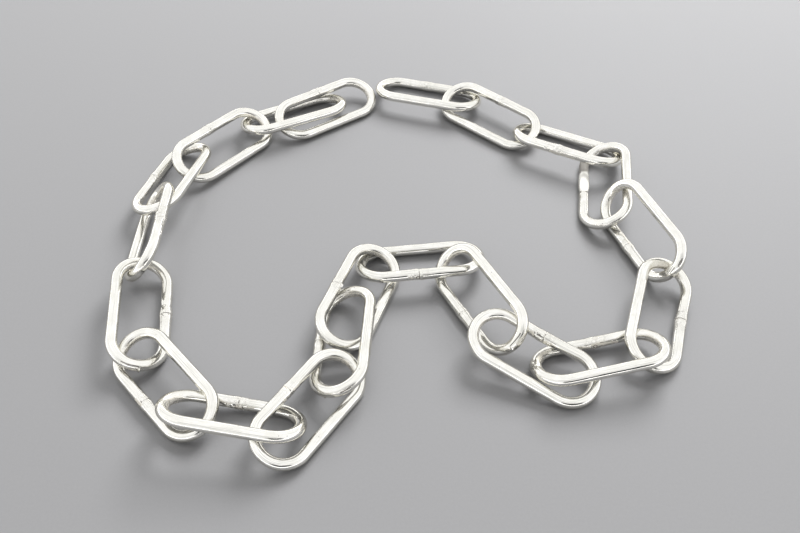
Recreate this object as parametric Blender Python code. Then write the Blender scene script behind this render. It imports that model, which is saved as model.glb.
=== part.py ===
"""A length of bright plated, welded long-link steel chain, lying loosely on a level floor.

The chain lies in one layer as a wide open loop with an S-bend in its near side, and its two
ends nearly meet at the far side. Each link is one closed ring of round wire, threaded through
its neighbours and free of them. Metres, +X to the right, +Y away, +Z up.
"""

import math

import bmesh
import bpy
import numpy as np
from mathutils import Matrix, Vector

# Driving dimensions of one link
WIRE = 0.005
LINK_LENGTH = 0.060
LINK_WIDTH = 0.027

# The butt weld in the middle of one leg, a little thicker than the wire
WELD_SWELL = 1.05
WELD_REACH = 0.003

# Between two wires that bear on each other
GAP = 0.0003

# How finely the round wire and the round crowns are cut
WIRE_SIDES = 12
CROWN_STEPS = 8

# How the links lie, in order along the chain from one free end to the other: the middle of the
# link to the right and away in millimetres, its heading along the chain in degrees, its lean in
# degrees (positive lifts the left leg) and its nose in degrees (positive lifts the front
# crown), and the leg that holds the weld.
LAY = [
    (-41, 110, -146, -16, 1, "right"),
    (-58, 104, -152, 18, 1, "right"),
    (-92, 77, -131, -25, 2, "right"),
    (-114, 51, -103, 16, 7, "right"),
    (-117, 11, -89, 50, 4, "left"),
    (-113, -34, -82, -24, -1, "left"),
    (-96, -70, -47, 26, 1, "right"),
    (-66, -87, -7, -32, -5, "left"),
    (-36, -81, 56, 22, -2, "left"),
    (-24, -48, 87, -24, -4, "left"),
    (-18, -23, 70, 22, 0, "left"),
    (9, -2, 6, -19, 2, "right"),
    (35, -27, -61, 48, 0, "right"),
    (56, -57, -29, 11, -10, "left"),
    (84, -56, 12, -23, 3, "left"),
    (113, -33, 72, 22, 4, "right"),
    (113, 14, 111, -58, -1, "left"),
    (102, 49, 82, -28, 0, "left"),
    (87, 80, 153, 21, -1, "left"),
    (48, 104, 142, -18, 1, "right"),
    (15, 123, 165, 14, -2, "right"),
]

# The two legs are straight, and the wire's middle line runs round each crown
LEG_OFFSET = (LINK_WIDTH - WIRE) / 2
HALF_LEG = (LINK_LENGTH - LINK_WIDTH) / 2

# The seating: how many points stand for the wire's middle line, how near the gap must come,
# and the most passes that it may take
LINE_POINTS = 72
SEAT_WITHIN = 0.00002
MOST_PASSES = 400
DRAW_IN = 0.2


def middle_line():
    """The middle line of a link's wire, as points at even spacing round the ring."""
    leg = 2 * HALF_LEG
    crown = math.pi * LEG_OFFSET
    points = []
    for number in range(LINE_POINTS):
        along = (number + 0.5) / LINE_POINTS * 2 * (leg + crown)
        side = 1
        if along >= leg + crown:
            along -= leg + crown
            side = -1
        if along < leg:
            points.append((side * (along - HALF_LEG), side * LEG_OFFSET, 0))
        else:
            turn = (along - leg) / LEG_OFFSET
            reach = HALF_LEG + LEG_OFFSET * math.sin(turn)
            points.append((side * reach, side * LEG_OFFSET * math.cos(turn), 0))
    return np.array(points)


def attitude(heading, lean, nose):
    """A link's rotation: its lean about its own length, then its nose, then its heading."""
    turned = (
        Matrix.Rotation(math.radians(heading), 3, "Z")
        @ Matrix.Rotation(math.radians(-nose), 3, "Y")
        @ Matrix.Rotation(math.radians(lean), 3, "X")
    )
    return np.array(turned)


def seat_links(centres, turns):
    """Draws neighbours together or pushes them apart until their wires lie GAP apart.

    Each pair shares the move where its wires come nearest, as two free rigid rings would, and
    each link is then set down on the floor, so no link is far from where it was laid.
    """
    line = middle_line()
    spread = (line**2).mean(axis=0)
    ease = np.diag([1 / spread[1], 1 / spread[0], 1 / (spread[0] + spread[1])])

    def rest_on_floor(link):
        centres[link][2] = WIRE / 2 - (line @ turns[link].T)[:, 2].min()

    def nudge(link, arm, push, share):
        eased = turns[link] @ ease @ turns[link].T
        swing = Vector(share * eased @ np.cross(arm, push))
        centres[link] = centres[link] + share * push
        turns[link] = np.array(Matrix.Rotation(swing.length, 3, swing)) @ turns[link]

    def looseness(link, arm, push):
        eased = turns[link] @ ease @ turns[link].T
        lever = np.cross(arm, push)
        return 1 + lever @ eased @ lever

    for link in range(len(centres)):
        rest_on_floor(link)
    for _ in range(MOST_PASSES):
        worst = 0
        for link in range(len(centres) - 1):
            here = line @ turns[link].T
            there = line @ turns[link + 1].T
            between = (here + centres[link])[:, None] - (there + centres[link + 1])[None]
            distance = np.linalg.norm(between, axis=2)
            near, far = np.unravel_index(distance.argmin(), distance.shape)
            push = between[near, far] / distance[near, far]
            short = WIRE + GAP - distance[near, far]
            worst = max(worst, abs(short))
            looser = looseness(link, here[near], push) + looseness(link + 1, there[far], push)
            share = short / looser
            if short < 0:
                share *= DRAW_IN
            nudge(link, here[near], push, share)
            nudge(link + 1, there[far], push, -share)
        for link in range(len(centres)):
            rest_on_floor(link)
        if worst < SEAT_WITHIN:
            break


def ring_edges(geometry):
    """The open edges of a ring that has just been extruded or spun."""
    return [part for part in geometry if isinstance(part, bmesh.types.BMEdge) and part.is_boundary]


def ring_verts(edges):
    return list({vert for edge in edges for vert in edge.verts})


def run_on(bm, edges, step, swell):
    """Extrudes a ring of the wire along X by step, and scales the new ring about its middle."""
    made = bmesh.ops.extrude_edge_only(bm, edges=edges)["geom"]
    edges = ring_edges(made)
    verts = ring_verts(edges)
    bmesh.ops.translate(bm, verts=verts, vec=(step, 0, 0))
    middle = sum((vert.co for vert in verts), Vector()) / len(verts)
    bmesh.ops.scale(bm, verts=verts, vec=(1, swell, swell), space=Matrix.Translation(-middle))
    return edges


def turn_crown(bm, edges, end):
    """Spins a ring of the wire half a turn round the middle of the crown at that end."""
    made = bmesh.ops.spin(
        bm,
        geom=ring_verts(edges) + edges,
        cent=(end * HALF_LEG, 0, 0),
        axis=(0, 0, -1),
        angle=math.pi,
        steps=CROWN_STEPS,
    )["geom_last"]
    return [part for part in made if isinstance(part, bmesh.types.BMEdge)]


def link_mesh():
    """One link, flat in XY about its own middle, with the weld in its leg at +Y."""
    bm = bmesh.new()
    start = Matrix.Translation((-HALF_LEG, LEG_OFFSET, 0)) @ Matrix.Rotation(math.pi / 2, 4, "Y")
    bmesh.ops.create_circle(bm, segments=WIRE_SIDES, radius=WIRE / 2, matrix=start)
    edges = bm.edges[:]
    edges = run_on(bm, edges, HALF_LEG - WELD_REACH, 1)
    edges = run_on(bm, edges, WELD_REACH * 2 / 3, WELD_SWELL)
    edges = run_on(bm, edges, WELD_REACH * 2 / 3, 1)
    edges = run_on(bm, edges, WELD_REACH * 2 / 3, 1 / WELD_SWELL)
    edges = run_on(bm, edges, HALF_LEG - WELD_REACH, 1)
    edges = turn_crown(bm, edges, 1)
    edges = run_on(bm, edges, -2 * HALF_LEG, 1)
    turn_crown(bm, edges, -1)
    bmesh.ops.remove_doubles(bm, verts=bm.verts, dist=WIRE / 1000)
    bmesh.ops.recalc_face_normals(bm, faces=bm.faces)
    mesh = bpy.data.meshes.new("chain_link")
    bm.to_mesh(mesh)
    bm.free()
    mesh.shade_smooth()
    return mesh


def plated_steel():
    material = bpy.data.materials.new("plated_steel")
    material.use_nodes = True
    shader = material.node_tree.nodes["Principled BSDF"]
    shader.inputs["Base Color"].default_value = (0.78, 0.77, 0.73, 1)
    shader.inputs["Metallic"].default_value = 1
    shader.inputs["Roughness"].default_value = 0.24
    return material


def lay_chain():
    """Makes the links where they lie, in order along the chain, and returns them."""
    centres = [np.array([east, north, 0]) / 1000 for east, north, *_ in LAY]
    turns = [attitude(heading, lean, nose) for _, _, heading, lean, nose, _ in LAY]
    seat_links(centres, turns)
    mesh = link_mesh()
    mesh.materials.append(plated_steel())
    links = []
    for number, (centre, turned, laid) in enumerate(zip(centres, turns, LAY), 1):
        link = bpy.data.objects.new(f"chain_link_{number:02d}", mesh)
        place = Matrix.Translation(Vector(centre)) @ Matrix(turned).to_4x4()
        if laid[-1] == "right":
            place = place @ Matrix.Rotation(math.pi, 4, "Z")
        link.matrix_world = place
        bpy.context.scene.collection.objects.link(link)
        links.append(link)
    return links


def stand_at_origin(links):
    """Moves the chain so that the middle of its box's underside is the origin."""
    corners = [link.matrix_world @ vert.co for link in links for vert in link.data.vertices]
    low = Vector(min(corner[axis] for corner in corners) for axis in range(3))
    high = Vector(max(corner[axis] for corner in corners) for axis in range(3))
    middle = (low + high) / 2
    for link in links:
        link.location = link.location - Vector((middle.x, middle.y, low.z))


for old in list(bpy.data.objects):
    bpy.data.objects.remove(old, do_unlink=True)
stand_at_origin(lay_chain())
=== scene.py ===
import math

import bmesh
import bpy
import numpy as np
from mathutils import Matrix, Vector


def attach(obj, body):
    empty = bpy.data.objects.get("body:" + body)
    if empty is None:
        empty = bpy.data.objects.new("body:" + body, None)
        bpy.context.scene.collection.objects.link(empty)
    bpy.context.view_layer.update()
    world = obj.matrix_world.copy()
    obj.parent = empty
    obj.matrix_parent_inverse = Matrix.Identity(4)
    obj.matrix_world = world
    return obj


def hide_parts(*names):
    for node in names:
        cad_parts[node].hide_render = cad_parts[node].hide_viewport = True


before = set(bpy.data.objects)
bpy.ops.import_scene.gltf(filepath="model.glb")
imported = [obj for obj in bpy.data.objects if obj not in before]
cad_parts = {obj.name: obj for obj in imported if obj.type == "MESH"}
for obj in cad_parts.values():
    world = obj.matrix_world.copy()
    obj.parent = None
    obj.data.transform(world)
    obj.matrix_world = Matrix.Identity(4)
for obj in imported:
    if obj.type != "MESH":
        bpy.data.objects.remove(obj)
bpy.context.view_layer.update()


# The view
# The chain is seen from above and in front, about 0.4 m away, by a camera whose long side is
# level apart from half a degree. Its place and lens put each link where the photograph has it.

PHOTO_WIDTH = 800
PHOTO_HEIGHT = 533
FOCAL_PIXELS = 862.6
SENSOR_WIDTH = 36
NEAREST_SEEN = 0.01
CAMERA_PLACE = (-0.00067, -0.28266, 0.30364)
LOOKS_DOWN = 48.73
TURNED_RIGHT = 0.07
ROLLED = 0.47

camera_lens = bpy.data.cameras.new("camera")
camera_lens.sensor_width = SENSOR_WIDTH
camera_lens.lens = FOCAL_PIXELS / PHOTO_WIDTH * SENSOR_WIDTH
camera_lens.clip_start = NEAREST_SEEN
camera = bpy.data.objects.new("camera", camera_lens)
bpy.context.scene.collection.objects.link(camera)
camera.matrix_world = (
    Matrix.Translation(CAMERA_PLACE)
    @ Matrix.Rotation(math.radians(-TURNED_RIGHT), 4, "Z")
    @ Matrix.Rotation(math.radians(90 - LOOKS_DOWN), 4, "X")
    @ Matrix.Rotation(math.radians(ROLLED), 4, "Z")
)
bpy.context.scene.camera = camera
bpy.context.scene.view_settings.view_transform = "Standard"


# The floor
# A wide sheet of plain pale grey card, lying flat under the chain. It has a soft sheen and a
# faint grain from its fibres, and it isn't part of the chain.

FLOOR_SIZE = 20.0
FLOOR_FIBRES = 900
FLOOR_DARKER = (0.140, 0.140, 0.143, 1)
FLOOR_LIGHTER = (0.160, 0.160, 0.163, 1)
FLOOR_ROUGHNESS = 0.38
FLOOR_SHEEN = 0.9


class Shade:
    """One output of a shader node. Arithmetic on it adds the Math nodes to its material."""

    def __init__(self, tree, socket=None):
        self.tree = tree
        self.socket = socket

    def node(self, kind, settings=None, sockets=None, output=0):
        made = self.tree.nodes.new(kind)
        for name, setting in (settings or {}).items():
            setattr(made, name, setting)
        for name, given in (sockets or {}).items():
            if isinstance(given, Shade):
                self.tree.links.new(given.socket, made.inputs[name])
            else:
                made.inputs[name].default_value = given
        return Shade(self.tree, made.outputs[output])

    def maths(self, operation, *values):
        return self.node("ShaderNodeMath", {"operation": operation}, dict(enumerate(values)))

    def __add__(self, other):
        return self.maths("ADD", self, other)

    def __sub__(self, other):
        return self.maths("SUBTRACT", self, other)

    def __rsub__(self, other):
        return self.maths("SUBTRACT", other, self)

    def __mul__(self, other):
        return self.maths("MULTIPLY", self, other)

    def __truediv__(self, other):
        return self.maths("DIVIDE", self, other)

    def __abs__(self):
        return self.maths("ABSOLUTE", self)

    __radd__ = __add__

    def rise(self, low, high):
        """Goes smoothly from 0 where this is low to 1 where it is high."""
        limits = {"Value": self, "From Min": low, "From Max": high}
        return self.node("ShaderNodeMapRange", {"interpolation_type": "SMOOTHSTEP"}, limits)

    def between(self, first, second):
        """The colour that goes from first to second as this goes from 0 to 1."""
        colours = {"Factor": self, 6: first, 7: second}
        return self.node("ShaderNodeMix", {"data_type": "RGBA"}, colours, 2)

    def axes(self):
        """The X, Y and Z of this place."""
        return [self.node("ShaderNodeSeparateXYZ", sockets={0: self}, output=axis) for axis in range(3)]

    def noise(self, scale, detail=2.0, roughness=0.5):
        """Soft noise over this place."""
        grain = {"Vector": self, "Scale": scale, "Detail": detail, "Roughness": roughness}
        return self.node("ShaderNodeTexNoise", sockets=grain)


def new_material(name):
    """A material with only its surface shader, and its tree as a Shade to build on."""
    material = bpy.data.materials.new(name)
    material.use_nodes = True
    surface = material.node_tree.nodes["Principled BSDF"]
    return material, surface, Shade(material.node_tree)


def feed(surface, name, shade):
    shade.tree.links.new(shade.socket, surface.inputs[name])


bpy.ops.object.select_all(action="DESELECT")
bpy.ops.mesh.primitive_plane_add(size=FLOOR_SIZE, location=(0, 0, 0))
floor = bpy.context.object
floor.name = "floor"
pale_card, floor_surface, floor_shade = new_material("pale_card")
floor_place = floor_shade.node("ShaderNodeTexCoord", output="Object")
floor_grain = floor_place.noise(FLOOR_FIBRES, 3, 0.6)
feed(floor_surface, "Base Color", floor_grain.between(FLOOR_DARKER, FLOOR_LIGHTER))
floor_surface.inputs["Roughness"].default_value = FLOOR_ROUGHNESS
floor_surface.inputs["Specular IOR Level"].default_value = FLOOR_SHEEN
floor.data.materials.append(pale_card)


# The studio
# A white tent lights the chain all round, and a large soft box lights it from behind on the
# right. A dark card in front on the right draws the thin dark line along its wires, the tent's
# opening for the camera a soft grey one, and a low strip of light all round their bright edges.

TENT_LIGHT = 1.25
OPENING_LIGHT = 0.92
DARK_CARD_LIGHT = 0.04
DARK_CARD_WAY = (0.31, -0.95)
STRIP_LIGHT = 1.1

# Where each begins and ends, softly, on a ball of radius 1 round the chain: up from the floor for
# a foot or a top, and towards its middle for a side
DARK_CARD_FOOT = (0.17, 0.22)
DARK_CARD_TOP = (0.54, 0.61)
DARK_CARD_SIDE = (0.86, 0.96)
DARK_CARD_SHARE = 0.84
FRONT_SIDE = (0.45, 0.75)
OPENING_FOOT = (0.60, 0.68)
OPENING_TOP = (0.80, 0.88)
OPENING_SIDE = (0.70, 0.92)
STRIP_TOP = (0.13, 0.18)

KEY_PLACE = (0.42, 0.85, 0.80)
KEY_SIZE = 0.62
KEY_LIGHT = 34
NEVER_NOUGHT = 0.0001

key_lamp = bpy.data.lights.new("soft_box", "AREA")
key_lamp.shape = "SQUARE"
key_lamp.size = KEY_SIZE
key_lamp.energy = KEY_LIGHT * math.pi * KEY_SIZE**2
key_box = bpy.data.objects.new("soft_box", key_lamp)
bpy.context.scene.collection.objects.link(key_box)
key_box.location = KEY_PLACE
key_box.visible_glossy = False
key_box.rotation_euler = (-Vector(KEY_PLACE)).to_track_quat("-Z", "Y").to_euler()

world = bpy.data.worlds.new("studio")
bpy.context.scene.world = world
world.use_nodes = True
tent = Shade(world.node_tree)
tent_place = tent.node("ShaderNodeTexCoord", output="Generated")
tent_x, tent_y, tent_z = tent_place.axes()
level_reach = tent.maths("SQRT", tent_x * tent_x + tent_y * tent_y + NEVER_NOUGHT)
frontness = 0 - tent_y / level_reach
towards_card = (tent_x * DARK_CARD_WAY[0] + tent_y * DARK_CARD_WAY[1]) / level_reach

# The dark card on the right, and a much weaker one across the whole front
card_height = tent_z.rise(*DARK_CARD_FOOT) * (1 - tent_z.rise(*DARK_CARD_TOP))
card_width = towards_card.rise(*DARK_CARD_SIDE) * DARK_CARD_SHARE
card_width = card_width + frontness.rise(*FRONT_SIDE) * (1 - DARK_CARD_SHARE)
dark_card_share = card_height * card_width

strip_share = 1 - tent_z.rise(*STRIP_TOP)
opening_height = tent_z.rise(*OPENING_FOOT) * (1 - tent_z.rise(*OPENING_TOP))
opening_share = opening_height * frontness.rise(*OPENING_SIDE)
tent_light = TENT_LIGHT - dark_card_share * (TENT_LIGHT - DARK_CARD_LIGHT) + strip_share * STRIP_LIGHT
tent_light = tent_light - opening_share * (TENT_LIGHT - OPENING_LIGHT)
tent_colour = tent.node("ShaderNodeCombineXYZ", sockets={0: tent_light, 1: tent_light, 2: tent_light})
backdrop = world.node_tree.nodes["Background"]
tent.tree.links.new(tent_colour.socket, backdrop.inputs["Color"])


# The links
# Twenty-one links of 5 mm round steel wire, each bent to a long ring whose two ends are butt
# welded in the middle of one leg, threaded through its neighbours and then plated.

WIRE = 0.005
HALF_LEG = 0.0165
LEG_OFFSET = 0.011
WIRE_SIDES = 32
SMOOTHING_SHRINK = (3 + math.cos(2 * math.pi / WIRE_SIDES)) / 4
CROWN_STEPS = 36
FAR_LEG_STEPS = 14
MM = 0.001

# From the seam along the leg in millimetres, and the wire's girth there
WELD_RINGS = [
    (0.12, 1.000),
    (0.35, 1.030),
    (0.75, 1.040),
    (1.30, 1.040),
    (2.00, 1.028),
    (2.80, 1.010),
]
PLAIN_RINGS = (3.6, 4.4, 5.3, 6.4, 7.6, 8.6, 9.4, 10.2, 11.0, 11.8, 12.6, 13.4, 14.2, 15.0, 15.8, 16.5)
WELD_RINGS += [(reach, 1.000) for reach in PLAIN_RINGS]
SEAM_GIRTH = 0.985


def run_on(step, girth):
    """Extrudes the open end of the wire along X, and sets the new ring's girth."""
    bpy.ops.mesh.extrude_region_move(TRANSFORM_OT_translate={"value": (step, 0, 0)})
    wire = bmesh.from_edit_mesh(bpy.context.object.data)
    ring = [vert.co for vert in wire.verts if vert.select]
    middle = sum(ring, Vector()) / len(ring)
    bpy.ops.transform.resize(value=(1, girth, girth), center_override=middle)


def turn_crown(end):
    """Bends the wire half a turn round the crown at that end."""
    centre = (end * HALF_LEG, 0, 0)
    bpy.ops.mesh.spin(steps=CROWN_STEPS, angle=math.pi, center=centre, axis=(0, 0, 1))


bpy.ops.object.select_all(action="DESELECT")
bpy.ops.mesh.primitive_circle_add(
    vertices=WIRE_SIDES,
    radius=WIRE / 2 / SMOOTHING_SHRINK,
    fill_type="NOTHING",
    location=(0, LEG_OFFSET, 0),
    rotation=(0, math.radians(90), 0),
)
blank = bpy.context.object
blank.name = "chain_link"
bpy.ops.object.transform_apply(location=True, rotation=True, scale=True)
bpy.ops.object.mode_set(mode="EDIT")
bpy.ops.mesh.select_all(action="SELECT")
bpy.ops.transform.resize(value=(1, SEAM_GIRTH, SEAM_GIRTH), center_override=(0, LEG_OFFSET, 0))
last_reach = 0
last_girth = SEAM_GIRTH
for reach, girth in WELD_RINGS:
    run_on((reach - last_reach) * MM, girth / last_girth)
    last_reach, last_girth = reach, girth
turn_crown(1)
for step in range(FAR_LEG_STEPS):
    run_on(-2 * HALF_LEG / FAR_LEG_STEPS, 1)
turn_crown(-1)
for reach, girth in reversed([(0, SEAM_GIRTH)] + WELD_RINGS[:-1]):
    run_on((last_reach - reach) * MM, girth / last_girth)
    last_reach, last_girth = reach, girth
bpy.ops.mesh.select_all(action="SELECT")
bpy.ops.mesh.remove_doubles(threshold=MM / 1000)
bpy.ops.mesh.normals_make_consistent(inside=False)
bpy.ops.object.mode_set(mode="OBJECT")

# Its own place is kept on every point, so that the plating follows the wire once it is laid
own_place = np.zeros(len(blank.data.vertices) * 3, np.float32)
blank.data.vertices.foreach_get("co", own_place)
kept_place = blank.data.attributes.new("own_place", "FLOAT_VECTOR", "POINT")
kept_place.data.foreach_set("vector", own_place / MM)

# How much of each point belongs to the rough zone round the weld
weld_zone = blank.vertex_groups.new(name="weld_zone")
for within, share in ((9.0, 0.08), (6.5, 0.25), (4.5, 0.55), (3.0, 0.85), (1.5, 1.0)):
    near = [vert.index for vert in blank.data.vertices if vert.co.y > 0 and abs(vert.co.x) < within * MM]
    weld_zone.add(near, share, "REPLACE")


# The welds
# Each link was cut, bent and butt welded by machine, so its weld is upset, waisted, kinked or
# out of line. The blank holds each of these as a shape, and a link takes it in its measure.

MOST_OF_A_SHAPE = 4


def pick(low, high):
    """In edit mode, selects the weld leg's vertices from low to high millimetres along it."""
    bpy.ops.mesh.select_all(action="DESELECT")
    shape = bmesh.from_edit_mesh(blank.data)
    for vert in shape.verts:
        vert.select = vert.co.y > 0 and low * MM < vert.co.x < high * MM
    shape.select_flush(True)
    bmesh.update_edit_mesh(blank.data)


def shape_of(name, moves):
    """Adds a shape that each link can take in part, made by moves in edit mode."""
    bpy.ops.object.shape_key_add(from_mix=False)
    key = blank.active_shape_key
    key.name = name
    key.slider_min = -MOST_OF_A_SHAPE
    key.slider_max = MOST_OF_A_SHAPE
    bpy.ops.object.mode_set(mode="EDIT")
    moves()
    bpy.ops.object.mode_set(mode="OBJECT")


def girth_within(low, high, girth):
    pick(low, high)
    bpy.ops.transform.resize(value=(1, girth, girth), center_override=(0, LEG_OFFSET, 0))


def slide_weld():
    """Moves the weld 1 mm along its leg, and less and less of the wire beside it."""
    last_part = 0
    for within, part in ((12.2, 0.2), (10.6, 0.4), (9.0, 0.6), (7.0, 0.8), (5.8, 1.0)):
        pick(-within, within)
        bpy.ops.transform.translate(value=((part - last_part) * MM, 0, 0))
        last_part = part


def upset_weld():
    """Swells the weld, most of all just behind the seam."""
    girth_within(-3.8, 3.0, 1.012)
    girth_within(-3.0, 2.1, 1.015)
    girth_within(-2.1, 1.4, 1.018)
    girth_within(-1.4, 0.8, 1.018)


def waist_weld():
    """Draws the weld in to a waist at its seam, and swells the wire ahead of it."""
    girth_within(0.5, 11.5, 1.015)
    girth_within(1.4, 10.5, 1.025)
    girth_within(2.2, 9.5, 1.025)
    girth_within(3.0, 8.5, 1.030)
    girth_within(4.0, 7.5, 1.020)
    girth_within(-1.8, 3.4, 0.980)
    girth_within(-1.4, 2.4, 0.970)
    girth_within(-1.0, 1.6, 0.960)
    girth_within(-0.6, 0.9, 0.930)
    girth_within(-0.2, 0.3, 0.940)


def neck_behind():
    """Draws the wire in 5 mm behind the seam, where the joint was upset once more."""
    girth_within(-6.6, -4.2, 0.985)
    girth_within(-5.5, -4.2, 0.930)
    girth_within(-3.8, -0.5, 1.030)


def sink_weld():
    """Bends the weld leg 1 mm into the ring, with a kink at the seam."""
    pick(-0.2, 0.2)
    bpy.ops.transform.translate(
        value=(0, -MM, 0),
        use_proportional_edit=True,
        proportional_edit_falloff="LINEAR",
        proportional_size=HALF_LEG,
    )


def step_weld():
    """Lifts the wire ahead of the seam by 1 mm and lowers it behind, as ends that didn't meet."""
    for side in (1, -1):
        last_part = 0
        for within, part in ((9.0, 0.15), (6.0, 0.35), (4.0, 0.6), (2.4, 0.8), (1.0, 1.0)):
            if side == 1:
                pick(0.05, within)
            else:
                pick(-within, -0.05)
            bpy.ops.transform.translate(value=(0, 0, side * (part - last_part) * MM))
            last_part = part


bpy.ops.object.select_all(action="DESELECT")
blank.select_set(True)
bpy.context.view_layer.objects.active = blank
bpy.ops.object.shape_key_add(from_mix=False)
shape_of("slid", slide_weld)
shape_of("upset", upset_weld)
shape_of("waist", waist_weld)
shape_of("neck", neck_behind)
shape_of("sunk", sink_weld)
shape_of("stepped", step_weld)


# The plating on the links
# Bright nickel-like plating over drawn steel wire: fine lines run along the wire, the weld is
# frosted and stained round its seam, and nicks and scars are dark where the plating is thin.
# Painted shadows lie on links 17 and 18, where a neighbour's crown or leg shades them.

BRIGHT = (0.84, 0.83, 0.795, 1)
DULLER = (0.78, 0.77, 0.72, 1)
REFLECTED = (0.90, 0.88, 0.83, 1)
FINE_LINES = (0.66, 0.65, 0.625, 1)
DRAWN_STREAKS = (0.64, 0.63, 0.59, 1)
FROST_GREY = (0.56, 0.545, 0.50, 1)
RUBBED_BROWN = (0.54, 0.50, 0.43, 1)
SEAM_STAIN = (0.29, 0.235, 0.18, 1)
DIE_LINES = (0.34, 0.31, 0.26, 1)
SMEARED_GREY = (0.60, 0.565, 0.49, 1)
# The dark brown of the painted shadow on link 18's leg, where link 19 lies over it
PAINTED_SHADOW_BROWN = (0.07, 0.062, 0.052, 1)
NICK_GREY = (0.12, 0.11, 0.10, 1)
PIT_BLACK = (0.05, 0.04, 0.035, 1)
# The black of the scars and pits, and of the painted shadow on link 17's leg under link 18's crown
SCAR_AND_SHADOW_BLACK = (0.07, 0.06, 0.05, 1)
SEAM_LINE = (0.12, 0.105, 0.09, 1)
FAR_FROM_SEAM = 40
RELIEF_STRENGTH = 0.4
RELIEF_HEIGHT = 0.00008


def plated_steel():
    """The plating, which reads a link's number, its marks and each point's own place."""
    material, surface, shade = new_material("plated_steel")

    def cells(place, scale):
        return shade.node("ShaderNodeTexVoronoi", sockets={"Vector": place, "Scale": scale})

    def vector(x, y, z):
        return shade.node("ShaderNodeCombineXYZ", sockets={0: x, 1: y, 2: z})

    def mark(name):
        return shade.node("ShaderNodeAttribute", {"attribute_name": name}, output="Fac")

    own = shade.node("ShaderNodeAttribute", {"attribute_name": "own_place"}, output="Vector")
    x, y, z = own.axes()
    number = mark("its_number")

    # Round the crown from 0 to pi, how far out from the ring's middle line, how far along the
    # wire from the middle of the far leg, and how far from the seam
    half_leg = HALF_LEG / MM
    offset = LEG_OFFSET / MM
    over = shade.maths("MAXIMUM", abs(x) - half_leg, 0)
    turned = shade.maths("ARCTAN2", over, y)
    outward = shade.maths("SQRT", over * over + y * y) - offset
    side_of_y = shade.maths("SIGN", y)
    side_of_x = shade.maths("SIGN", x)
    on_leg = (half_leg - shade.maths("MINIMUM", abs(x), half_leg)) * side_of_y
    from_far = math.pi * offset + half_leg - turned * offset + on_leg
    along = from_far * side_of_x
    off_weld_leg = (1 - y.rise(0, 1)) * FAR_FROM_SEAM
    from_seam = abs(x) + off_weld_leg

    # Drawn lines, and the slow unevenness of the wire and its plating
    streaks = vector(outward * 3.0, z * 3.0, along * 0.07 + number * 7.7).noise(1.0, 3.0, 0.6)
    fine = vector(outward * 8, z * 8, along * 0.30 + number * 3.1).noise(1.0, 2.0, 0.5)
    cloud_place = vector(x + number * 13, y, z)
    cloud = cloud_place.noise(0.16, 3.0, 0.55)
    blotch = cloud_place.noise(0.55, 3.0, 0.6)
    speck = cloud_place.noise(2.4, 3.0, 0.6)
    grit = cloud_place.noise(6.0, 2.0, 0.6)

    # The seam: a fine dark line round the wire that comes and goes
    wander = (blotch - 0.5) * 0.5
    seam_line = 1 - (abs(x + wander) + off_weld_leg).rise(0.07, 0.20)
    broken = cloud_place.noise(0.45, 1.0, 0.5).rise(0.40, 0.58)
    seam = seam_line * (0.25 + broken * 0.75) * mark("its_seam")

    # Brown stain and pits beside the seam, mostly on the wire's under side
    beside_seam = 1 - from_seam.rise(0.8, 6.5)
    under_side = 1 - z.rise(-1.2, 1.6)
    stain = beside_seam * (0.25 + under_side * 0.75) * (blotch * 0.5 + speck * 0.5).rise(0.46, 0.60)
    stain = stain * mark("its_stain")
    pit_shape = 1 - (cells(cloud_place, 0.75) + grit * 0.25).rise(0.30, 0.44)
    pits = pit_shape * (1 - from_seam.rise(1.5, 5.0)) * blotch.rise(0.44, 0.54) * mark("its_pits")

    # The rough frosted zone on both sides of the weld
    frosted = (1 - from_seam.rise(3.0, 9.5)) * (0.35 + blotch.rise(0.38, 0.62) * 0.65) * mark("its_frost")

    # The bending dies' fine lines along the crowns' outer side
    from_crown_middle = abs(turned - math.pi / 2)
    die_zone = (1 - from_crown_middle.rise(0.4, 0.9)) * outward.rise(1.2, 2.2)
    die_grain = vector(outward * 2, z * 4.5, along * 0.05 + number).noise(1.0)
    die_lines = die_zone * die_grain.rise(0.5, 0.62)

    # The scars, stains and painted shadows that were drawn on each link, with ragged edges,
    # and a dull pale patch on link 18's weld
    # Scars, and the painted shadow on link 17's leg that is drawn with them
    scar_and_shadow = (mark("its_scars_and_shadow") + (speck - 0.5) * 0.35).rise(0.38, 0.62)
    smear = (mark("its_stains") + (speck * 0.4 + blotch * 0.6 - 0.5) * 1.3).rise(0.30, 0.62)
    # A painted shadow, dark brown, where link 19 shades link 18's leg
    painted_shadow = (mark("its_painted_shadow") + (speck - 0.5) * 0.2).rise(0.25, 0.60)
    bloom = mark("its_blooms").rise(0.05, 0.55)

    # Rubbed brown in the crowns' inner side, where the links bear on each other
    inner_side = (1 - from_crown_middle.rise(0.55, 1.1)) * (1 - outward.rise(-2.3, -1.0))
    rubbed = inner_side * blotch.rise(0.30, 0.60) * mark("its_rub")

    # Small nicks from handling
    nicks = (1 - cells(cloud_place, 0.22).rise(0.035, 0.075)) * speck.rise(0.45, 0.55)

    # One coat over another: each mark as strong as it is on the real plating, each painted shadow as dark
    # as its shade
    colour = cloud.rise(0.35, 0.65).between(BRIGHT, DULLER)
    for share, coat in (
        (fine.rise(0.50, 0.68) * 0.35, FINE_LINES),
        (streaks.rise(0.50, 0.70) * 0.9, DRAWN_STREAKS),
        (frosted * (0.25 + grit.rise(0.40, 0.65) * 0.45), FROST_GREY),
        (rubbed * 0.55, RUBBED_BROWN),
        (stain * 0.85, SEAM_STAIN),
        (die_lines * 0.35, DIE_LINES),
        (smear * 0.8, SMEARED_GREY),
        (painted_shadow * 0.85, PAINTED_SHADOW_BROWN),
        (nicks * 0.7, NICK_GREY),
        (pits * 0.92, PIT_BLACK),
        (scar_and_shadow * 0.9, SCAR_AND_SHADOW_BLACK),
        (seam * 0.8, SEAM_LINE),
    ):
        colour = share.between(colour, coat)
    feed(surface, "Base Color", colour)

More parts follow.
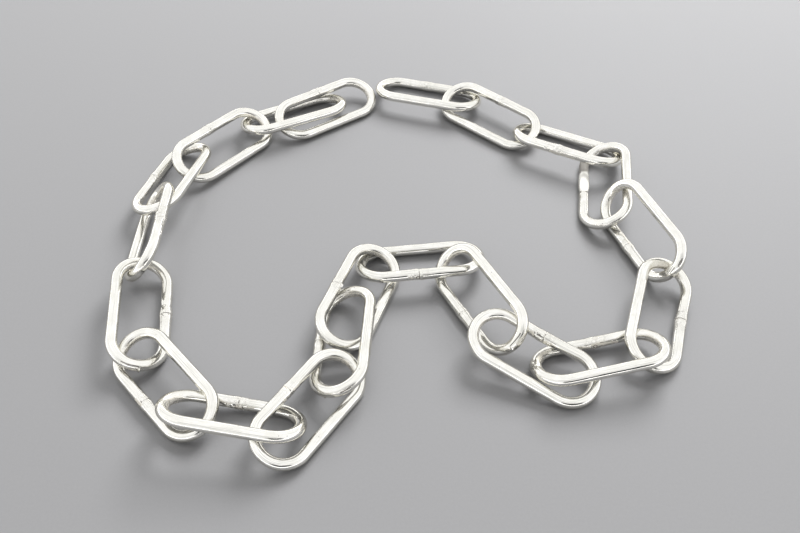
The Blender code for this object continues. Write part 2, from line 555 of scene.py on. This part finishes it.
    roughness = 0.06 + streaks.rise(0.3, 0.8) * 0.05 + cloud.rise(0.45, 0.7) * 0.07 + frosted * 0.14
    roughness = roughness + (stain + scar_and_shadow + seam + pits) * 0.26 + smear * 0.22 + rubbed * 0.14
    feed(surface, "Roughness", roughness + bloom * 0.20)
    bare = 1 - (smear + stain + scar_and_shadow + painted_shadow) * 0.7 - rubbed * 0.4 - bloom * 0.7
    feed(surface, "Metallic", shade.maths("MAXIMUM", bare, 0))
    surface.inputs["Specular Tint"].default_value = REFLECTED

    relief = streaks * 0.45 + fine * 0.10 + frosted * (speck * 1.4 + grit * 0.5) - pits * 3.0
    relief = relief - (stain + scar_and_shadow + die_lines) * 0.5 + smear * (speck + grit) * 1.2 - nicks
    uneven = {"Strength": RELIEF_STRENGTH, "Distance": RELIEF_HEIGHT, "Height": relief}
    feed(surface, "Normal", shade.node("ShaderNodeBump", sockets=uneven, output="Normal"))
    return material


blank.data.materials.append(plated_steel())


# The links as they lie
# Each link is a copy of the blank, turned and set where its solid lies. The numbers are read
# from the photograph: where the weld sits, and how it and the crowns are marked.

SWOLLEN_REACH = 2 * MM


def lie_of(node):
    """Where a link lies: its middle, and its axes with Y towards the weld and Z upwards."""
    points = np.array([vert.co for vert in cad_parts[node].data.vertices])
    middle = points.mean(axis=0)
    axes = np.linalg.svd(points - middle, full_matrices=False)[2]
    spread = (points - middle) @ axes.T
    centre = middle + (spread.min(axis=0) + spread.max(axis=0)) / 2 @ axes
    across, up = Vector(axes[1]), Vector(axes[2])
    if up.z < 0:
        up = -up
    local = (points - centre) @ axes.T
    beside_seam = local[abs(local[:, 0]) < SWOLLEN_REACH]
    if beside_seam[:, 1].mean() < 0:
        across = -across
    length = across.cross(up)
    turned = Matrix((length, across, up)).transposed()
    return Matrix.Translation(Vector(centre)) @ turned.to_4x4()


# What a plain link has. The weld's slide, sink and step are in millimetres, the slide towards
# the crown ahead, and the rest are about 1 where they are plain to see.
PLAIN_LINK = dict(
    slid=0, upset=0.5, waist=0, neck=0, sunk=0, stepped=0, seam=0.5, stain=0.3, pits=0.2, frost=0.3,
    rub=1.0, rough=0.25,
)
LINK_MARKS = {
    1: dict(slid=0.5, seam=0.2, stain=0.2),
    2: dict(seam=0.2, stain=0.2),
    3: dict(slid=-1.0, seam=0.2, upset=0.8, stain=0.2, stepped=0.1),
    4: dict(slid=0.5, seam=0.4, upset=0.9, stepped=0.15, frost=0.6, rough=0.5),
    5: dict(slid=0.4, seam=0.5, upset=1.0, sunk=0.2, frost=0.9, pits=0, rough=0.4),
    6: dict(slid=0.4, seam=0.4, neck=1.0, upset=1.2, stain=0.4, stepped=-0.08, pits=0),
    7: dict(slid=-0.6, seam=0.4, upset=0.6, stain=0.6, frost=0.5, pits=0),
    8: dict(slid=0.8, seam=0.15, stain=0.8, pits=0.3, frost=0.6, sunk=-0.2, rough=0.4),
    9: dict(slid=-0.8, seam=0.4, stain=0.4, stepped=0.08, pits=0),
    10: dict(slid=0.5, seam=0.6),
    11: dict(slid=-1.2, seam=0.4, stain=0.3, upset=0.3, stepped=-0.06),
    12: dict(slid=1.7, seam=0.5, stain=0.4, upset=0.3, stepped=0.1, frost=0.4),
    13: dict(slid=0.8, seam=0.3, upset=0.8, frost=0.4),
    14: dict(slid=-0.5, seam=0.3, sunk=0.45, stepped=0.12, stain=0.6, frost=0.6, pits=0),
    15: dict(slid=1.5, seam=0.2, sunk=0.45, stain=0.8, frost=0.8, pits=0, rough=0.5),
    16: dict(slid=-1.1, seam=0.3, upset=1.0, sunk=0.5, frost=1.0, stain=0.4, rough=0.5, pits=0),
    17: dict(slid=-0.8, seam=0.4, upset=1.0, stepped=0.1, stain=0.2, frost=0.6, pits=0),
    18: dict(slid=-2.4, seam=0, waist=1.0, upset=0.2, stain=0, rough=0, pits=0, rub=0.3),
    19: dict(slid=2.2, seam=0.15, upset=1.0, rough=1.1, frost=0.6, rub=0.3),
    20: dict(slid=0.8, seam=0.15, upset=0.9, stepped=0.1, rough=0.4, rub=0.3),
    21: dict(slid=-2.6, seam=0.1, upset=0.8, rough=0.4, rub=0.3),
}
WELD_SHAPES = ("slid", "upset", "waist", "neck", "sunk", "stepped")
PAINTED = ("seam", "stain", "pits", "frost", "rub")

# The marks that only one link has, drawn on it as short lines. Each is from one pixel of the
# photograph to another, across and down, with the line's breadth in millimetres.
DRAWN_MARKS = {
    5: dict(
        scratches_and_shadow=[(157.4, 216.4, 163.4, 216.5, 0.16), (160.2, 231.8, 160.6, 232.6, 0.50)],
        lumps=[(161.4, 231.0, 161.2, 234.6, 0.90), (167.0, 207.0, 164.9, 215.4, 1.40)],
        hollows=[(164.2, 219.4, 162.6, 224.0, 1.20)],
    ),
    6: dict(
        pits=[(160.4, 305.4, 161.0, 305.2, 0.55), (168.6, 313.4, 168.9, 313.9, 0.55)],
        scratches_and_shadow=[
            (160.0, 305.8, 165.4, 304.4, 0.20), (163.0, 312.4, 168.4, 312.6, 0.24),
            (161.0, 313.4, 163.2, 315.6, 0.38), (121.0, 361.4, 128.0, 364.6, 0.38),
            (128.0, 364.6, 137.0, 366.4, 0.38), (137.0, 366.4, 140.4, 368.2, 0.42),
            (141.0, 367.3, 146.0, 367.2, 0.35), (115.0, 364.4, 120.5, 367.4, 0.50),
            (120.5, 367.4, 128.0, 368.4, 0.48), (128.0, 368.4, 138.0, 369.4, 0.35),
        ],
        burrs=[(139.6, 369.2, 138.4, 371.6, 0.50)],
        hollows=[(141.8, 369.4, 146.0, 369.0, 1.00)],
        stains=[(124.0, 370.0, 136.0, 370.6, 0.60)],
    ),
    7: dict(
        scratches_and_shadow=[(140.8, 401.2, 141.6, 402.6, 0.40)],
        pits=[(197.2, 388.4, 197.8, 389.4, 0.50)],
        lumps=[(199.4, 389.4, 200.2, 390.4, 0.80)],
        stains=[
            (135.5, 399.5, 140.5, 404.5, 1.20), (195.6, 384.5, 197.2, 387.5, 0.80),
            (199.4, 386.8, 200.2, 388.0, 0.60),
        ],
    ),
    8: dict(
        pits=[(233.6, 405.2, 234.4, 405.2, 0.75)],
        scratches_and_shadow=[
            (239.2, 400.4, 238.6, 403.0, 0.38), (220.2, 402.6, 224.8, 405.2, 0.80),
            (230.6, 405.2, 230.6, 406.8, 0.35), (242.4, 406.6, 243.0, 408.8, 0.45),
        ],
        lumps=[(227.0, 404.8, 227.6, 405.0, 0.70), (236.5, 406.8, 241.0, 407.8, 0.60)],
        stains=[
            (220.0, 401.0, 230.0, 403.5, 0.55), (225.0, 405.0, 229.0, 406.6, 0.80),
            (243.5, 407.2, 254.0, 408.0, 0.50),
        ],
    ),
    9: dict(
        scratches_and_shadow=[(284.4, 386.6, 287.2, 389.2, 0.18)],
        stains=[
            (284.2, 386.4, 287.6, 389.4, 0.80), (288.0, 389.6, 295.0, 388.4, 0.40),
            (284.6, 399.6, 286.0, 400.4, 1.10), (294.0, 390.0, 299.0, 385.0, 0.70),
        ],
    ),
    10: dict(
        burrs=[(324.8, 398.4, 324.8, 398.8, 0.45)],
        ledges=[(315.8, 393.6, 323.6, 397.8, 0.45)],
        hollows=[(327.4, 396.8, 332.0, 397.2, 1.10)],
        scratches_and_shadow=[
            (340.5, 393.0, 351.0, 387.2, 0.42), (337.0, 397.0, 343.5, 396.2, 0.40),
            (343.5, 396.2, 351.0, 393.4, 0.45),
        ],
    ),
    11: dict(
        scratches_and_shadow=[(334.6, 281.6, 338.0, 282.2, 0.30)],
        burrs=[(341.0, 287.0, 342.0, 284.8, 0.60)],
    ),
    12: dict(
        scratches_and_shadow=[(419.3, 271.6, 419.4, 278.8, 0.22), (416.5, 277.0, 416.7, 278.4, 0.40)],
        lumps=[
            (409.4, 276.2, 409.9, 276.2, 0.75), (413.0, 276.0, 413.4, 276.0, 0.65),
            (417.4, 276.0, 417.8, 276.0, 0.65), (421.0, 276.2, 421.4, 276.2, 0.70),
        ],
        stains=[(409.6, 277.4, 412.6, 278.2, 0.70), (415.2, 277.4, 418.0, 277.6, 0.60)],
    ),
    13: dict(
        scratches_and_shadow=[
            (459.6, 313.4, 458.8, 316.0, 0.45), (520.4, 333.4, 518.8, 336.2, 0.50),
            (518.8, 336.2, 515.0, 340.6, 0.48), (515.0, 340.6, 510.4, 345.8, 0.42),
            (505.4, 351.0, 508.2, 349.8, 0.34), (506.8, 352.0, 509.2, 351.2, 0.34),
        ],
        burrs=[(510.9, 347.0, 512.6, 349.4, 0.42)],
        stains=[(524.6, 334.5, 517.0, 343.4, 0.70)],
    ),
    14: dict(
        pits=[(538.8, 335.0, 539.8, 335.6, 1.00), (541.2, 336.6, 542.4, 337.2, 0.75)],
        scratches_and_shadow=[
            (543.4, 339.0, 542.8, 341.0, 0.40), (534.8, 331.8, 534.8, 333.4, 0.36),
            (534.6, 335.2, 534.6, 336.8, 0.35), (545.6, 334.2, 545.6, 335.2, 0.42),
            (537.6, 332.6, 537.6, 333.4, 0.32), (548.4, 344.4, 548.7, 344.9, 0.38),
            (546.5, 339.0, 556.0, 344.4, 0.22),
        ],
        lumps=[(547.4, 343.6, 549.8, 345.4, 0.65)],
        stains=[(531.2, 331.5, 533.4, 335.0, 1.00), (546.0, 341.2, 556.0, 347.0, 0.50)],
    ),
    15: dict(
        scratches_and_shadow=[
            (592.6, 346.8, 595.0, 345.2, 0.34), (595.0, 345.0, 597.4, 346.0, 0.34),
            (600.0, 342.8, 616.0, 340.4, 0.34), (578.6, 348.2, 582.0, 347.8, 0.30),
            (533.8, 360.8, 535.4, 364.0, 0.50), (533.0, 365.0, 534.8, 367.4, 0.55),
            (534.8, 367.8, 535.8, 369.0, 0.40),
        ],
        lumps=[(595.0, 346.2, 595.4, 346.2, 0.80), (583.0, 347.6, 585.5, 347.4, 0.70)],
        stains=[
            (593.0, 345.0, 617.0, 341.8, 1.40), (580.0, 347.8, 590.0, 347.4, 0.90),
            (550.0, 350.8, 542.0, 353.4, 1.30),
            (542.0, 353.4, 538.0, 358.6, 1.50), (538.0, 358.6, 538.4, 365.0, 1.40),
        ],
        rough_spots=[(533.4, 361.0, 534.6, 368.0, 1.20)],
    ),
    16: dict(
        scratches_and_shadow=[
            (675.4, 318.6, 678.0, 317.6, 0.34), (678.0, 317.6, 681.4, 317.8, 0.22),
            (681.4, 317.8, 685.4, 319.6, 0.30), (681.0, 311.2, 684.2, 311.6, 0.18),
            (676.6, 320.6, 677.2, 326.4, 0.24),
        ],
        hollows=[(675.0, 313.8, 674.4, 317.4, 0.60)],
        lumps=[(684.4, 327.4, 683.8, 330.6, 0.80)],
    ),
    17: dict(
        scratches_and_shadow=[
            # The first line is a painted shadow, where link 18's crown shades link 17's leg
            (613.8, 230.4, 618.8, 231.0, 0.80), (681.6, 259.4, 678.6, 265.8, 0.36),
            (674.4, 267.8, 669.6, 274.0, 0.38), (676.0, 272.2, 671.6, 275.2, 0.38),
            (679.4, 274.2, 675.6, 276.6, 0.38), (672.6, 266.4, 668.4, 272.6, 0.28),
        ],
        stains=[
            (619.0, 228.4, 630.6, 245.4, 0.35), (629.6, 253.6, 630.6, 254.8, 0.50),
            (674.0, 276.4, 678.6, 275.2, 0.90),
        ],
    ),
    18: dict(
        # A painted shadow on link 18's leg and along its sides, under link 19's leg
        painted_shadows=[
            (584.0, 160.5, 584.1, 168.0, 5.0), (579.6, 166.0, 579.6, 172.5, 2.2),
            (588.8, 166.0, 588.8, 172.5, 2.2),
        ],
        blooms=[(584.3, 174.0, 584.6, 186.0, 4.0)],
    ),
    19: dict(
        hollows=[(544.6, 147.0, 545.0, 147.8, 0.60)],
        lumps=[(556.0, 151.5, 559.0, 152.6, 0.90)],
        stains=[(550.0, 150.6, 574.0, 158.8, 0.80)],
    ),
    20: dict(hollows=[(502.0, 97.2, 505.0, 98.2, 0.80)], lumps=[(495.6, 103.4, 498.6, 104.6, 0.80)]),
}

# How far each kind of mark stands out from the wire in millimetres, and what its paint is
MARK_KINDS = {
    "pits": (-0.30, "its_scars_and_shadow"),
    # The scratches take in the painted shadow on link 17's leg
    "scratches_and_shadow": (-0.05, "its_scars_and_shadow"),
    "hollows": (-0.20, None),
    "ledges": (0.18, None),
    "lumps": (0.20, None),
    "burrs": (0.75, "its_stains"),
    "rough_spots": (0, None),
    "stains": (0, "its_stains"),
    # The painted shadow is paint alone, with no height
    "painted_shadows": (0, "its_painted_shadow"),
    "blooms": (0, "its_blooms"),
}
PAINT_ONLY = ("stains", "painted_shadows", "blooms")

# The slow waves in the wire, and the lumps at the weld and on the rough crown
waves = bpy.data.textures.new("waves", "CLOUDS")
waves.noise_scale = 0.007
lumps = bpy.data.textures.new("lumps", "CLOUDS")
lumps.noise_scale = 0.0014
WAVE_HEIGHT = 0.00014
LUMP_HEIGHT = 0.00045
PIXELS_APART = 1.5


def keep(piece, name, measure):
    """Keeps a measure on a piece's points, one for all or one for each, for its plating to read."""
    kept = piece.data.attributes.new(name, "FLOAT", "POINT")
    kept.data.foreach_set("value", np.full(len(piece.data.vertices), measure, np.float32))


def places_of(piece):
    """The places of a piece's vertices."""
    places = np.empty(len(piece.data.vertices) * 3)
    piece.data.vertices.foreach_get("co", places)
    return places.reshape(-1, 3)


def lift(piece, height, zone="", texture=None):
    """Lifts the wire's surface in one zone or all over, by a soft pattern if one is given."""
    if not height:
        return
    bpy.ops.object.modifier_add(type="DISPLACE")
    uneven = piece.modifiers[-1]
    if texture:
        uneven.texture = texture
        uneven.texture_coords = "LOCAL"
    else:
        uneven.mid_level = 0
    uneven.strength = height
    uneven.vertex_group = zone
    bpy.ops.object.modifier_apply(modifier=uneven.name)


def shown_at(piece, across, down):
    """The point of a piece's surface at a pixel of the photograph, or its rim nearest to it."""
    eye = camera.matrix_world.translation
    ray = Vector((across - PHOTO_WIDTH / 2, PHOTO_HEIGHT / 2 - down, -FOCAL_PIXELS))
    ray.rotate(camera.matrix_world.to_quaternion())
    ray.normalize()
    hit, place = piece.ray_cast(eye, ray)[:2]
    if hit:
        return np.array(place)
    from_eye = places_of(piece) - np.array(eye)
    off_ray = np.linalg.norm(np.cross(from_eye, ray), axis=1) / np.linalg.norm(from_eye, axis=1)
    return from_eye[off_ray.argmin()] + np.array(eye)


def shown_along(piece, from_x, from_y, to_x, to_y):
    """Points of a piece's surface along a line in the photograph, a pixel or two apart."""
    steps = 2 + int(math.hypot(to_x - from_x, to_y - from_y) / PIXELS_APART)
    along = zip(np.linspace(from_x, to_x, steps), np.linspace(from_y, to_y, steps))
    return [shown_at(piece, across, down) for across, down in along]


def nearness(piece, lines):
    """How near each vertex is to lines drawn on a piece: 1 on a line, 0 at its breadth away."""
    places = places_of(piece)
    nearest = np.zeros(len(places))
    for start, end, breadth in lines:
        run = end - start
        squared_length = max(run @ run, MM**4)
        part = np.clip((places - start) @ run / squared_length, 0, 1)
        gap = np.linalg.norm(places - start - part[:, None] * run, axis=1)
        nearest = np.maximum(nearest, 1 - gap / (breadth * MM))
    return nearest.clip(0)


def cut_finer(piece, lines):
    """Cuts the faces under the drawn lines in three each way, so that they take a sharp mark."""
    touched = nearness(piece, lines) > 0
    for face in piece.data.polygons:
        face.select = any(touched[vert] for vert in face.vertices)
    bpy.ops.object.mode_set(mode="EDIT")
    bpy.ops.mesh.subdivide(number_cuts=2)
    bpy.ops.object.mode_set(mode="OBJECT")


def draw_marks(piece, drawn):
    """Cuts, raises and paints the marks that are drawn on one link."""
    lines = {}
    for kind, pixel_lines in drawn.items():
        lines[kind] = []
        for *ends, breadth in pixel_lines:
            points = shown_along(piece, *ends)
            lines[kind] += [(start, end, breadth) for start, end in zip(points, points[1:])]
    bpy.context.tool_settings.mesh_select_mode = (False, False, True)
    cut_finer(piece, [line for kind in lines if kind not in PAINT_ONLY for line in lines[kind]])
    paint = {colour: [] for _, colour in MARK_KINDS.values() if colour}
    for kind, its_lines in lines.items():
        height, colour = MARK_KINDS[kind]
        if colour:
            paint[colour] += its_lines
        zone = piece.vertex_groups.new(name=kind)
        for vert, share in enumerate(nearness(piece, its_lines)):
            if share > 0:
                zone.add([vert], share, "REPLACE")
        lift(piece, height * MM, kind)
    if "rough_spots" in lines:
        lift(piece, LUMP_HEIGHT, "rough_spots", lumps)
    return {colour: nearness(piece, its_lines) for colour, its_lines in paint.items()}


for number, its_marks in LINK_MARKS.items():
    node = f"chain_link_{number:02d}"
    marks = {**PLAIN_LINK, **its_marks}
    link = blank.copy()
    link.data = blank.data.copy()
    link.name = f"link_{number:02d}"
    bpy.context.scene.collection.objects.link(link)
    bpy.ops.object.select_all(action="DESELECT")
    link.select_set(True)
    bpy.context.view_layer.objects.active = link
    for name in WELD_SHAPES:
        link.data.shape_keys.key_blocks[name].value = marks[name]
    bpy.ops.object.shape_key_remove(all=True, apply_mix=True)
    bpy.ops.object.modifier_add(type="SUBSURF")
    smoothing = link.modifiers[-1]
    smoothing.levels = smoothing.render_levels = 1
    bpy.ops.object.modifier_apply(modifier=smoothing.name)
    link.matrix_world = lie_of(node)
    bpy.ops.object.transform_apply(location=True, rotation=True, scale=True)
    lift(link, WAVE_HEIGHT, texture=waves)
    lift(link, LUMP_HEIGHT * marks["rough"], "weld_zone", lumps)
    bpy.context.view_layer.update()
    painted = draw_marks(link, DRAWN_MARKS.get(number, {}))
    keep(link, "its_number", number)
    for name in PAINTED:
        keep(link, f"its_{name}", marks[name])
    for name, shares in painted.items():
        keep(link, name, shares)
    bpy.ops.object.shade_smooth()
    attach(link, "root")
    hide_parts(node)

bpy.data.objects.remove(blank)
